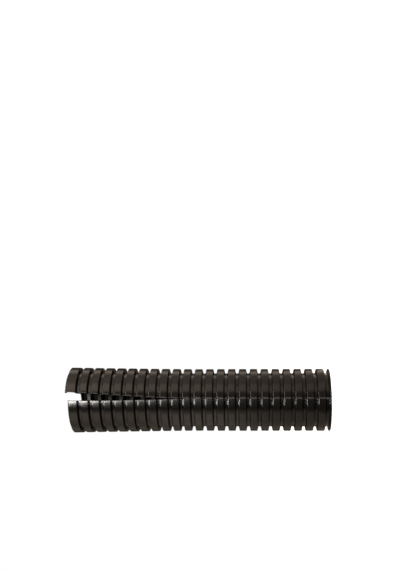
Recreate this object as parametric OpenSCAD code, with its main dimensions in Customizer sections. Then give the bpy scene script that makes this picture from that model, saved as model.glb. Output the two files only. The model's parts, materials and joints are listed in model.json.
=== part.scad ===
// Split loom tubing: a cut length of corrugated polyethylene tube with a slit along its whole length.
// The tube stands along Z on its square end with the slit towards -Y. At the upper end the slit is spread
// open, and the wall there has opened out with its lips, so the tube is a little wider there.

/* [Tube] */
// Outside diameter over the crests, where the slit is closed
crest_d = 24.3; // [21:0.1:32]
// Length of the cut piece
tube_len = 103.4; // [70:0.1:300]
// Thickness of the wall
wall = 0.5; // [0.35:0.05:0.7]

/* [Corrugation] */
// Distance from one crest to the next
pitch = 4.4; // [4.2:0.1:6]
// Width of a crest's top, corner to corner
crest_w = 2.7; // [2.4:0.1:2.9]
// Axial run of a crest's side, from the crest's corner to the groove's corner
flank_run = 0.4; // [0.3:0.05:0.5]
// Depth of the grooves, from crest to groove floor
groove_depth = 1.7; // [1.2:0.1:2.2]
// Rounding of the corners outside the tube
outer_round = 0.3; // [0.1:0.05:0.4]
// Rounding of the corners inside the tube
inner_round = 0.2; // [0.1:0.05:0.3]
// Groove left between the spread end and its first crest
end_groove = 0.4; // [0.3:0.1:1]
// Width that the first crest's top has over the others', towards the spread end
end_crest_gain = 0.9; // [0:0.1:1]

/* [Slit] */
// Width of the slit where it is closed
slit_w = 0.2; // [0.1:0.05:0.5]
// Width that the slit has gained at the spread end
spread_w = 3.4; // [0.5:0.1:5]
// Length over which the spread slit closes
spread_len = 50; // [30:1:60]
// How the spread slit closes: 1 is straight lips, more is lips that curve together
spread_power = 1.15; // [1:0.05:2]
// Share of the spread that the +X lip takes
spread_share = 0.78; // [0.2:0.02:0.8]
// Diameter that the tube has gained at the spread end, where the wall has opened out with its lips
flare_w = 1.6; // [0:0.1:2.4]

/* [Hidden] */
$fn = 96;

crest_r = crest_d / 2;
groove_r = crest_r - groove_depth;
first_crest = end_groove + flank_run + end_crest_gain;
// The wall is as thick on the crests' sides as elsewhere
flank_angle = atan2(groove_depth, flank_run);
hollow_w = crest_w - 2 * wall * tan(flank_angle / 2);
// The waves run past both ends and are then cut to length
last_wave = ceil((tube_len - first_crest) / pitch);
corner_steps = 2;
lip_steps = 10;
cut_margin = 1;

// Width that the slit has gained at distance s from the spread end
function spread_gap(s) = spread_w * pow(max(0, 1 - max(0, s) / spread_len), spread_power);

// Growth of the radius there, in step with the spread
function flare(s) = flare_w / 2 * spread_gap(s) / spread_w;

function unit(v) = v / norm(v);

function turned(v, a) = [v[0] * cos(a) - v[1] * sin(a), v[0] * sin(a) + v[1] * cos(a)];

// Points of the arc of radius r that rounds the corner at p, on the way from a to b
function rounded(a, p, b, r) =
    let (
        to_a = unit(a - p),
        to_b = unit(b - p),
        half = acos(to_a * to_b) / 2,
        centre = p + unit(to_a + to_b) * r / sin(half),
        start = p + to_a * r / tan(half) - centre,
        side = sign(to_a[1] * to_b[0] - to_a[0] * to_b[1]),
        sweep = side * (180 - 2 * half)
    )
    [for (i = [0 : corner_steps]) centre + turned(start, sweep * i / corner_steps)];

// One wave of the wall as [radius, distance] points: up from the groove, over a crest whose top
// of width top_w starts at s, and down to the next groove
function one_wave(s, top_w, low_r, high_r, r) =
    let (
        foot_a = [low_r, s - flank_run],
        top_a = [high_r, s],
        top_b = [high_r, s + top_w],
        foot_b = [low_r, s + top_w + flank_run],
        floor_step = [0, pitch]
    )
    concat(
        rounded(foot_a - floor_step, foot_a, top_a, r),
        rounded(foot_a, top_a, top_b, r),
        rounded(top_a, top_b, foot_b, r),
        rounded(top_b, foot_b, foot_b + floor_step, r)
    );

// All waves of one side of the wall, opened out by the flare
function all_waves(inset, top_w, r) =
    [
        [groove_r - inset + flare(0), -cut_margin],
        for (k = [0 : last_wave])
        let (
            gain = k == 0 ? end_crest_gain : 0,
            s = first_crest + k * pitch - gain + (crest_w - top_w) / 2
        )
        for (p = one_wave(s, top_w + gain, groove_r - inset, crest_r - inset, r))
        [p[0] + flare(p[1]), p[1]]
    ];

outer_line = all_waves(0, crest_w, outer_round);
inner_line = all_waves(wall, hollow_w, inner_round);

// The slit is cut from inside the bore to past the crests
cut_low = groove_r / 2;
cut_high = crest_r + flare_w / 2 + cut_margin;

// The tube before it is slit, along +Z from the spread end
module corrugated_tube() {
    inner_back = [for (i = [len(inner_line) - 1 : -1 : 0]) inner_line[i]];
    intersection() {
        rotate_extrude() polygon(concat(outer_line, inner_back));
        cylinder(r = cut_high, h = tube_len);
    }
}

// The corners of the slit's section at distance s from the spread end. Each lip is a radial cut face
// that has turned about the tube's axis by its share of the spread.
function slit_corners(s) =
    let (
        turn = spread_gap(s) / (crest_r + flare(s)) * 180 / PI,
        plus_turn = -spread_share * turn,
        minus_turn = (1 - spread_share) * turn,
        section = [
            turned([-slit_w / 2, cut_low], minus_turn),
            turned([slit_w / 2, cut_low], plus_turn),
            turned([slit_w / 2, cut_high], plus_turn),
            turned([-slit_w / 2, cut_high], minus_turn)
        ]
    )
    [for (c = section) [s, c[0], c[1]]];

// What the slit takes away from the tube that lies along +X from its spread end
module slit() {
    stations = concat(
        [-cut_margin],
        [for (i = [0 : lip_steps]) spread_len * i / lip_steps],
        [tube_len + cut_margin]
    );
    last = len(stations) - 1;
    sides = [
        for (i = [0 : last - 1], j = [0 : 3])
        let (a = 4 * i + j, b = 4 * i + (j + 1) % 4)
        each [[a, b + 4, b], [a, a + 4, b + 4]]
    ];
    ends = [[0, 1, 2, 3], [for (j = [3 : -1 : 0]) 4 * last + j]];
    polyhedron([for (s = stations) each slit_corners(s)], concat(sides, ends));
}

// The tube is drawn lying with the slit on top, and then stood on its square end
module split_tube() {
    // The half turn about the tube's axis puts the seam of the turned wall into the slit
    half_turn = 180;
    color([0.13, 0.12, 0.11])
    translate([0, 0, tube_len])
    rotate([0, 90, -90])
    difference() {
        rotate([0, 90, 0]) rotate([0, 0, half_turn]) corrugated_tube();
        slit();
    }
}

split_tube();
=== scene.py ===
import json
import math

import bpy
import numpy as np
from mathutils import Euler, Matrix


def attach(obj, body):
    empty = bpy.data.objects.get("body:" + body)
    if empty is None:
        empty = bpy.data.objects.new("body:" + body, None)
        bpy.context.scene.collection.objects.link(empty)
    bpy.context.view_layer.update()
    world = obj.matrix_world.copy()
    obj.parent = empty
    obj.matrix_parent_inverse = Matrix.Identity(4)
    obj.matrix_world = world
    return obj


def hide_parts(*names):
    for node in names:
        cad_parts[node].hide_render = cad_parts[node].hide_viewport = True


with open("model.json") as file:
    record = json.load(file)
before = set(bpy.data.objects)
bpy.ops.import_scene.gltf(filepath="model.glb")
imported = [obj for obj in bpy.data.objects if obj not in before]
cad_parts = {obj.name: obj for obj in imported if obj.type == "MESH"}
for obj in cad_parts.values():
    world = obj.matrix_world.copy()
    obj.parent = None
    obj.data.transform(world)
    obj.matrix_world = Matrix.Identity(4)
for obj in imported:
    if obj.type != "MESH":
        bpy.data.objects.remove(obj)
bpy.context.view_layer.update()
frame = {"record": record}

# The tube: one length of loom, extruded as a plain tube of black polyethylene, drawn into the waves
# of a mould while soft, and slit along one side with a knife. It stands on its square end. The upper
# end has been spread by hand: its lips stand apart and the wall has opened out with them.

# Waves of the wall, in mm as all the tube's sizes are
MM = 0.001
mounts = {mount["name"]: mount for mount in frame["record"]["mounts"]}
tube_len = 103.4
crest_r = mounts["crests"]["dims"]["r_mm"]
groove_depth = 1.7
groove_r = crest_r - groove_depth
wall = 0.5
pitch = 4.4
crest_w = 2.7
flank_run = 0.4
first_crest = 1.7
end_crest_gain = 0.9
end_land = 0.3
hollow_w = crest_w - 2 * wall * math.tan(math.atan2(groove_depth, flank_run) / 2)
crest_round = 0.19
groove_round = 0.04
land_round = 0.3
hollow_round = 1.1
crown = 0.003
edge_round = 0.06
arc_points = 4
straight_shares = (0.03, 0.5, 0.97)
end_shares = (0.1, 0.2, 0.3)

# Spread of the slit: its own width, how far the +X and the -X lip stand off it, and the opened wall
slit_w = 0.04
plus_gap = 2.5
plus_len = 40.0
plus_power = 1.0
minus_gap = 0.93
minus_len = 50.0
minus_power = 2.2
flare_w = 1.6
flare_len = 50.0
flare_power = 1.15

# Shear of the spread wall along the axis, and the lean of its rings on the -X side
shear_drop = 0.55
shear_len = 72.0
shear_power = 1.1
shear_sweep = 0.75
shear_lift = 1.3
lean_drop = 0.8
lean_turns = (0.5 * math.pi, 1.333 * math.pi, 1.666 * math.pi)
lean_len = 45.0
lean_fade = 17.0

# Cut at the spread end: its fall from lip to lip, its dip at the back, and how far down they reach
end_skew = 0.45
back_dip = 1.7
end_len = 4.2

# Uneven draw of the waves in the mould
draw = 0.5
draw_start = 8.3
draw_run = 79.0
draw_fade = 10.0


def lip_gap(s, width, length, power):
    """How far a lip stands off the slit's line: width less width * (s / length) ** power."""
    return width * (1 - np.clip(s / length, 0, 1) ** power)


def wave_line(top_r, floor_r, top_w, top_round, foot_round):
    """One side of the wall, from the spread end to the square end, as distance + 1j * radius.

    The corners of all waves stand in a row: up from a groove, over a crest and down again. Each is
    replaced by the arc that touches both its straights: centre on the corner's bisector, from where
    one straight leaves to where the next begins. Each straight gets three points between its ends,
    and a crest's top is raised there by the crown's parabola. The first crest is wider, and the last
    is cut across its top.
    """
    waves = np.arange(math.ceil((tube_len - first_crest) / pitch))
    start = first_crest + waves * pitch + (crest_w - top_w) / 2
    steps = np.array([-flank_run, 0, top_w, top_w + flank_run])
    levels = np.array([floor_r, top_r, top_r, floor_r])
    rounds = np.array([foot_round, top_round, top_round, foot_round])
    corners = (start[:, None] + steps + 1j * levels).ravel()[:-2]
    corners[:2] -= end_crest_gain
    corners[-1] = min(corners[-1].real, tube_len - end_land) + 1j * top_r
    room = tube_len - corners.real
    radius = np.minimum(np.tile(rounds, len(waves))[:-2], room / 2)
    row = np.concatenate([[1j * floor_r], corners, [tube_len + 1j * top_r]])
    back = row[:-2] - corners
    ahead = row[2:] - corners
    back = back / abs(back)
    ahead = ahead / abs(ahead)
    half = abs(np.angle(ahead / back)) / 2
    middle = (back + ahead) / abs(back + ahead)
    centre = corners + middle * radius / np.sin(half)
    leave = corners + back * radius / np.tan(half) - centre
    arrive = corners + ahead * radius / np.tan(half) - centre
    sweep = np.angle(arrive / leave)[:, None] * np.linspace(0, 1, arc_points)
    arcs = centre[:, None] + leave[:, None] * np.exp(1j * sweep)
    straight_from = np.concatenate([row[:1], arcs[:, -1]])[:, None]
    straight_to = np.concatenate([arcs[:, 0], row[-1:]])[:, None]
    shares = np.tile(straight_shares, (len(straight_from), 1))
    shares[-1] = end_shares
    straights = straight_from + (straight_to - straight_from) * shares
    tops = slice(2, -1, len(steps))
    straights[tops] += 1j * crown * (1 - (2 * shares[tops] - 1) ** 2)
    waves_row = np.hstack([straights[:-1], arcs]).ravel()
    return np.concatenate([row[:1], waves_row, straights[-1], row[-1:]])


outer_line = wave_line(crest_r, groove_r, crest_w, crest_round, groove_round)
inner_line = wave_line(crest_r - wall, groove_r - wall, hollow_w, hollow_round, land_round)

# Rows along the tube. At both ends two more rows round off the cut edge: each lies nearer to the end
# and draws both faces of the wall towards its middle. Halfway round, an edge of radius 1 stands off
# its corner's two faces by eighth.
eighth = 1 - math.sqrt(0.5)
end_steps = np.array([0, eighth, 1]) * edge_round
end_insets = np.array([1, eighth, 0]) * edge_round
end_rows = len(end_steps)
last = len(outer_line) - 1
rows = np.clip(np.arange(1 - end_rows, last + end_rows), 0, last)
row_inset = np.zeros(len(rows))
row_inset[:end_rows] = end_insets
row_inset[-end_rows:] = end_insets[::-1]

# Columns round the wall: over the outside from the +X lip to the -X lip, round that lip's cut face,
# back along the inside, and round the other lip. depth runs from 0 outside to 1 inside, turn from 0
# at the +X lip to 1 at the -X lip, and back_off is the distance from the lip's cut face. cut_turn is
# how far round the wall the knife's mark reaches from each lip.
cut_turn = 0.0025
lip_turn = np.array([0, 0.0005, cut_turn, 0.007, 0.015])
wall_turn = np.linspace(0.03, 0.97, 59)
arc_turn = np.concatenate([lip_turn, wall_turn, 1 - lip_turn[::-1]])
arc_count = len(arc_turn)
lip_depth = np.array([eighth, 1]) * edge_round / wall
lip_depth = np.concatenate([lip_depth, 1 - lip_depth[::-1]])
lip_count = len(lip_depth)
lip_back_off = np.array([eighth, 0, 0, eighth]) * edge_round
full = np.ones(arc_count)
depth = np.concatenate([0 * full, lip_depth, full, lip_depth[::-1]])
turn = np.concatenate([arc_turn, np.ones(lip_count), arc_turn[::-1], np.zeros(lip_count)])
back_off = np.concatenate([edge_round * full, lip_back_off, edge_round * full, lip_back_off])

# Every vertex: a point between the outer and the inner line, carried round the axis.
inset = row_inset[:, None] / wall
depth_here = 0.5 + (depth - 0.5) * (1 - 2 * inset)
line_here = outer_line[rows][:, None] * (1 - depth_here) + inner_line[rows][:, None] * depth_here
along = line_here.real
along[:end_rows] = end_steps[:, None]
along[-end_rows:] = tube_len - end_steps[::-1, None]
flare = flare_w / 2 * np.clip(1 - along / flare_len, 0, 1) ** flare_power
radius = line_here.imag + flare
off_lip = (back_off + row_inset[:, None] + slit_w / 2) / radius
lip_plus = lip_gap(along, plus_gap, plus_len, plus_power) / (crest_r + flare) + off_lip
lip_minus = lip_gap(along, minus_gap, minus_len, minus_power) / (crest_r + flare) + off_lip
lip_minus = 2 * math.pi - lip_minus
angle = lip_plus + (lip_minus - lip_plus) * turn

# Spreading has also sheared the wall a little: the -X side lies lower than the +X side, and its rings
# lean from the back to the side.
at_back = np.clip(-np.cos(angle), 0, 1) ** 2
shear = shear_drop * np.clip(1 - along / shear_len, 0, 1) ** shear_power
sheared = along + shear * (1 + np.sin(shear_sweep * (angle - math.pi)) - shear_lift * at_back)
past_side = np.interp(angle, lean_turns, (1, 0.5, 0))
lean = lean_drop * np.sin(math.pi * past_side) ** 2
sheared += lean * np.clip((lean_len - along) / lean_fade, 0, 1)

# The mould drew the waves out a little unevenly: in the middle they lie up to draw lower. The cut end is
# not quite square either: it falls towards the -X lip and dips at the back.
drawn = draw * np.sin(math.pi * np.clip(along - draw_start, 0, None) / draw_run)
sheared += drawn * np.clip((tube_len - along) / draw_fade, 0, 1)
skew = end_skew * (0.5 - 0.5 * np.cos(angle / 2)) + back_dip * at_back
sheared += skew * np.clip(1 - along / end_len, 0, 1)
places = np.stack([radius * np.sin(angle), -radius * np.cos(angle), tube_len - sheared], axis=-1)

# Faces: a quad for each cell of the closed grid, and at both ends a strip from outside to inside
# with one many-sided face at each lip.
row_count, column_count = angle.shape
index = np.arange(row_count * column_count).reshape(row_count, column_count)
around = np.roll(index, -1, axis=1)
cells = np.stack([index[:-1], index[1:], around[1:], around[:-1]], axis=-1).reshape(-1, 4)
inside_end = 2 * arc_count + lip_count - 1
outside = np.arange(arc_count)
inside = inside_end - outside
strip = np.stack([outside[:-1], outside[1:], inside[1:], inside[:-1]], axis=-1)
minus_lip = np.arange(arc_count - 1, arc_count + lip_count + 1)
plus_lip = np.append(np.arange(inside_end, column_count), 0)
last_row = (row_count - 1) * column_count
quads = np.concatenate([cells, strip, last_row + strip[:, ::-1]])
lips = np.stack([minus_lip, plus_lip, last_row + minus_lip[::-1], last_row + plus_lip[::-1]])
faces = quads.tolist() + lips.tolist()

tube_mesh = bpy.data.meshes.new("loom_wall")
tube_mesh.from_pydata((places.reshape(-1, 3) * MM).tolist(), [], faces)
tube_mesh.polygons.foreach_set("use_smooth", np.ones(len(faces), dtype=bool))


def whole_cells(marked):
    """The grid's cells that have all four corners among the marked vertices."""
    return marked.ravel()[cells].all(axis=1)


# The finish of each face: 0 outside, 1 on the inner lands, 2 in the hollows, 3 along the knife's cut.
hollow_edge = 0.35
cut_finish = 3
is_inside = depth_here == 1
in_hollow = is_inside & (line_here.imag > groove_r - wall + hollow_edge)
is_cut = np.broadcast_to(np.minimum(turn, 1 - turn) <= cut_turn, angle.shape)
finish = np.zeros(len(faces), dtype=np.int32)
grid_finish = finish[: len(cells)]
grid_finish += whole_cells(is_inside)
grid_finish += whole_cells(in_hollow)
grid_finish[whole_cells(is_cut)] = cut_finish
tube_mesh.polygons.foreach_set("material_index", finish)

# The wall's own map, in millimetres: down the tube from its spread end, and round it from its back.
corner_vertex = np.zeros(len(tube_mesh.loops), dtype=np.int32)
tube_mesh.loops.foreach_get("vertex_index", corner_vertex)
wall_map = np.stack([along, (angle - math.pi) * crest_r], axis=-1).reshape(-1, 2)
wall_uv = tube_mesh.uv_layers.new(name="wall")
wall_uv.uv.foreach_set("vector", wall_map[corner_vertex].astype(np.float32).ravel())
tube_mesh.update()


def linear(hex_colour):
    """An sRGB hex colour as linear red, green, blue and alpha: each channel by the sRGB curve."""
    channels = np.array([int(hex_colour[i : i + 2], 16) for i in (1, 3, 5)]) / 255
    low = channels / 12.92
    high = ((channels + 0.055) / 1.055) ** 2.4
    return (*np.where(channels <= 0.04045, low, high), 1.0)


def add_node(tree, kind, values=None, links=None, **settings):
    """Adds a node with its settings, its input values by name or number, and its incoming links."""
    node = tree.nodes.new(kind)
    for name, value in settings.items():
        setattr(node, name, value)
    for key, value in (values or {}).items():
        node.inputs[key].default_value = value
    for key, socket in (links or {}).items():
        tree.links.new(socket, node.inputs[key])
    return node


# Black polyethylene, filled with carbon black and cooled against a mould: a deep, slightly warm black
# with a half gloss. The gloss wavers along the mould's turning marks, so reflections are a bit streaky.
streak_size = 0.45
streak_run = 9.0
streak_depth = 0.02
patch_size = 5.0
polyethylene_ior = 1.51
gloss_low = 0.135
gloss_high = 0.16
black = bpy.data.materials.new("black_polyethylene")
black.use_nodes = True
tree = black.node_tree
tree.nodes.clear()
wall_coords = add_node(tree, "ShaderNodeUVMap", uv_map="wall")
streaks = add_node(
    tree,
    "ShaderNodeMapping",
    {"Scale": (1 / streak_size, 1 / streak_run, 1)},
    {"Vector": wall_coords.outputs["UV"]},
)
streak_noise = add_node(
    tree,
    "ShaderNodeTexNoise",
    {"Scale": 1.0, "Detail": 2.0, "Roughness": 0.55},
    {"Vector": streaks.outputs["Vector"]},
    noise_dimensions="2D",
)
patch_noise = add_node(
    tree,
    "ShaderNodeTexNoise",
    {"Scale": 1 / patch_size, "Detail": 3.0, "Roughness": 0.6},
    {"Vector": wall_coords.outputs["UV"]},
    noise_dimensions="2D",
)
gloss = add_node(
    tree,
    "ShaderNodeMapRange",
    {"From Min": 0.3, "From Max": 0.7, "To Min": gloss_low, "To Max": gloss_high},
    {"Value": streak_noise.outputs["Fac"]},
)
tint = add_node(
    tree,
    "ShaderNodeMix",
    {6: linear("#070606"), 7: linear("#0b0a09")},
    {0: patch_noise.outputs["Fac"]},
    data_type="RGBA",
)
bump = add_node(
    tree,
    "ShaderNodeBump",
    {"Strength": 0.1, "Distance": streak_depth * MM},
    {"Height": streak_noise.outputs["Fac"]},
)
shader = add_node(
    tree,
    "ShaderNodeBsdfPrincipled",
    {"IOR": polyethylene_ior},
    {
        "Base Color": tint.outputs[2],
        "Roughness": gloss.outputs["Result"],
        "Normal": bump.outputs["Normal"],
    },
)
add_node(tree, "ShaderNodeOutputMaterial", None, {"Surface": shader.outputs["BSDF"]})
tube_mesh.materials.append(black)

# The inside never touched the mould, so there the same plastic is duller: the lands between the hollows
# have a weak sheen, and the hollows, which were stretched most, are matt and look blacker. The knife left
# the lips rougher than the mould left the outside, so the closed slit shows as a pale line. Each finish
# has a name, a specular level, and the lowest and highest roughness.
other_finishes = (
    ("dull_black_polyethylene", 0.16, 0.35, 0.4),
    ("matt_black_polyethylene", 0.03, 0.5, 0.6),
    ("knife_cut_polyethylene", 0.5, 0.45, 0.55),
)
for name, specular, low, high in other_finishes:
    plastic = black.copy()
    plastic.name = name
    nodes = plastic.node_tree.nodes
    nodes[shader.name].inputs["Specular IOR Level"].default_value = specular
    nodes[gloss.name].inputs["To Min"].default_value = low
    nodes[gloss.name].inputs["To Max"].default_value = high
    tube_mesh.materials.append(plastic)

tube = bpy.data.objects.new("loom_tube", tube_mesh)
bpy.context.scene.collection.objects.link(tube)
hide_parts("split_tube")
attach(tube, "root")

# The light: a softbox in front of the tube and above the camera, a weaker one over it, a low pale card on
# the -X side, and walls all round under a dark ceiling. It is a warm white, the first softbox least so.

# Each lamp's name, middle and size in metres, slant and heading in degrees, radiance and colour
lamps = (
    ("softbox", (-0.2, -0.89, 0.346), (0.45, 0.17), 25, 0, 39.0, "#fffaf5"),
    ("high_softbox", (0.1, -0.7, 0.8), (0.7, 0.4), 0, 0, 18.0, "#ffeeda"),
    ("low_card", (-0.9, -0.08, 0.095), (0.9, 0.1), 0, -85, 0.47, "#fff2e2"),
)
for name, middle, size, slant, heading, radiance, colour in lamps:
    lamp_data = bpy.data.lights.new(name, "AREA")
    lamp_data.shape = "RECTANGLE"
    lamp_data.color = linear(colour)[:3]
    lamp_data.size, lamp_data.size_y = size
    lamp_data.energy = math.pi * radiance * lamp_data.size * lamp_data.size_y
    lamp = bpy.data.objects.new(name, lamp_data)
    lamp.location = middle
    lamp.rotation_euler = (math.pi / 2, math.radians(slant), math.radians(heading))
    lamp.visible_camera = False
    bpy.context.scene.collection.objects.link(lamp)

# The walls by the turn in degrees, from straight in front of the tube by way of its -X side, its back and
# its +X side to the front again: their radiance, and how even they are from the floor up, where 0 is walls
# that fade towards the floor and 1 is even ones. The ramp holds shares of ring_scale, the brightest wall.
ring_scale = 1.6
ring = (
    (0, 0.15, 1.0),
    (14, 0.07, 1.0),
    (39, 0.06, 0.8),
    (54, 0.78, 0.12),
    (75, 0.71, 0.2),
    (100, 0.49, 0.9),
    (130, 0.5, 1.0),
    (150, 0.15, 1.0),
    (205, 0.08, 1.0),
    (222, 0.15, 1.0),
    (230, 0.5, 1.0),
    (238, 1.4, 1.0),
    (246, 1.6, 1.0),
    (258, 0.82, 1.0),
    (269, 0.64, 0.8),
    (283, 0.8, 0.5),
    (298, 0.72, 0.22),
    (308, 1.3, 0.02),
    (328, 1.3, 0.02),
    (336, 0.25, 0.8),
    (348, 0.2, 1.0),
    (360, 0.15, 1.0),
)
wall_colour = np.array(linear("#ffebd7")[:3])


def add_walls(tree, parts):
    """Adds the ring of walls around the Z axis: the ramp's place is the turn of X and Y about it."""
    turned = add_node(
        tree,
        "ShaderNodeMath",
        None,
        {0: parts.outputs["X"], 1: parts.outputs["Y"]},
        operation="ARCTAN2",
    )
    turn_share = add_node(
        tree,
        "ShaderNodeMapRange",
        {"From Min": -math.pi, "From Max": math.pi, "To Min": 0.0, "To Max": 1.0},
        {"Value": turned.outputs["Value"]},
    )
    walls = add_node(tree, "ShaderNodeValToRGB", None, {"Fac": turn_share.outputs["Result"]})
    stops = walls.color_ramp.elements
    for _ in ring[2:]:
        stops.new(1.0)
    for stop, (degrees, _, _) in zip(stops, ring):
        stop.position = degrees / 360
    for stop, (_, radiance, evenness) in zip(stops, ring):
        stop.color = (*(wall_colour * radiance / ring_scale), evenness)
    return walls


# How bright the walls are by height, as the sine of the angle above level: even ones, fading ones at
# their foot and top, and the ceiling over both.
even_gain = 0.85
foot_height = -0.07
foot_gain = 0.42
top_height = 0.22
top_gain = 1.5
ceiling_from = 0.5
ceiling_to = 0.7
ceiling_gain = 0.05
studio = bpy.data.worlds.new("studio")
studio.use_nodes = True
tree = studio.node_tree
tree.nodes.clear()
direction = add_node(tree, "ShaderNodeTexCoord")
parts = add_node(tree, "ShaderNodeSeparateXYZ", None, {"Vector": direction.outputs["Generated"]})
walls = add_walls(tree, parts)
fading_gain = add_node(
    tree,
    "ShaderNodeMapRange",
    {
        "From Min": foot_height,
        "From Max": top_height,
        "To Min": foot_gain * ring_scale,
        "To Max": top_gain * ring_scale,
    },
    {"Value": parts.outputs["Z"]},
)
wall_gain = add_node(
    tree,
    "ShaderNodeMix",
    {3: even_gain * ring_scale},
    {0: walls.outputs["Alpha"], 2: fading_gain.outputs["Result"]},
    data_type="FLOAT",
)
below_ceiling = add_node(
    tree,
    "ShaderNodeMapRange",
    {"From Min": ceiling_from, "From Max": ceiling_to, "To Min": 1.0, "To Max": ceiling_gain},
    {"Value": parts.outputs["Z"]},
)
room_gain = add_node(
    tree,
    "ShaderNodeMath",
    None,
    {0: wall_gain.outputs[0], 1: below_ceiling.outputs["Result"]},
    operation="MULTIPLY",
)
wall_light = add_node(
    tree,
    "ShaderNodeBackground",
    None,
    {"Color": walls.outputs["Color"], "Strength": room_gain.outputs["Value"]},
)
backdrop = add_node(tree, "ShaderNodeBackground", {"Color": linear("#ffffff"), "Strength": 1.0})
ray = add_node(tree, "ShaderNodeLightPath")
seen = add_node(
    tree,
    "ShaderNodeMixShader",
    None,
    {0: ray.outputs["Is Camera Ray"], 1: wall_light.outputs[0], 2: backdrop.outputs[0]},
)
add_node(tree, "ShaderNodeOutputWorld", None, {"Surface": seen.outputs[0]})
bpy.context.scene.world = studio
bpy.context.scene.view_settings.view_transform = "Standard"

# The floor: a wide sheet of white paper under the tube, lit to a clean white. In the tube's gloss it
# carries on the walls, dimmer where they fade towards it.
floor_half = 2.0
floor_gain = 0.52
paper_glow = 0.95
floor_corners = np.array([[-1, -1, 0], [1, -1, 0], [1, 1, 0], [-1, 1, 0]]) * floor_half
floor_mesh = bpy.data.meshes.new("paper_sheet")
floor_mesh.from_pydata(floor_corners.tolist(), [], [[0, 1, 2, 3]])
floor = bpy.data.objects.new("floor", floor_mesh)
bpy.context.scene.collection.objects.link(floor)
paper = bpy.data.materials.new("white_paper")
paper.use_nodes = True
tree = paper.node_tree
tree.nodes.clear()
paper_shader = add_node(
    tree,
    "ShaderNodeBsdfPrincipled",
    {
        "Base Color": linear("#f2f2f2"),
        "Roughness": 0.9,
        "Specular IOR Level": 0.1,
        "Emission Color": linear("#ffffff"),
        "Emission Strength": paper_glow,
    },
)
floor_coords = add_node(tree, "ShaderNodeTexCoord")
floor_parts = add_node(tree, "ShaderNodeSeparateXYZ", None, {"Vector": floor_coords.outputs["Object"]})
floor_walls = add_walls(tree, floor_parts)
floor_wall_gain = add_node(
    tree,
    "ShaderNodeMix",
    {2: floor_gain * ring_scale, 3: even_gain * ring_scale},
    {0: floor_walls.outputs["Alpha"]},
    data_type="FLOAT",
)
floor_glow = add_node(
    tree,
    "ShaderNodeEmission",
    None,
    {"Color": floor_walls.outputs["Color"], "Strength": floor_wall_gain.outputs[0]},
)
floor_ray = add_node(tree, "ShaderNodeLightPath")
paper_seen = add_node(
    tree,
    "ShaderNodeMixShader",
    None,
    {0: floor_ray.outputs["Is Camera Ray"], 1: floor_glow.outputs[0], 2: paper_shader.outputs[0]},
)
add_node(tree, "ShaderNodeOutputMaterial", None, {"Surface": paper_seen.outputs[0]})
floor_mesh.materials.append(paper)

# The camera: in front of the tube and on its side, so that the tube's upper end is at the picture's left.
# The aim is first set for a camera that looks down on a lying tube, and then stood up with it.
camera_distance = 0.332
camera_below_middle = 0.0207
camera_lean = math.radians(3.0)
camera_turn = (10.914, 3.462, 0.137)
focal_length = 52.176
film_width = 36.0
upright = Euler((0, math.pi / 2, -math.pi / 2)).to_matrix()
aim = Euler([math.radians(degrees) for degrees in camera_turn]).to_matrix()
camera_data = bpy.data.cameras.new("camera")
camera_data.lens = focal_length
camera_data.sensor_width = film_width
camera_data.clip_start = 0.01
camera_data.clip_end = 20.0
camera = bpy.data.objects.new("camera", camera_data)
camera.location = (
    -camera_distance * math.sin(camera_lean),
    -camera_distance * math.cos(camera_lean),
    tube_len * MM / 2 - camera_below_middle,
)
camera.rotation_euler = (upright @ aim).to_euler()
bpy.context.scene.collection.objects.link(camera)
bpy.context.scene.camera = camera
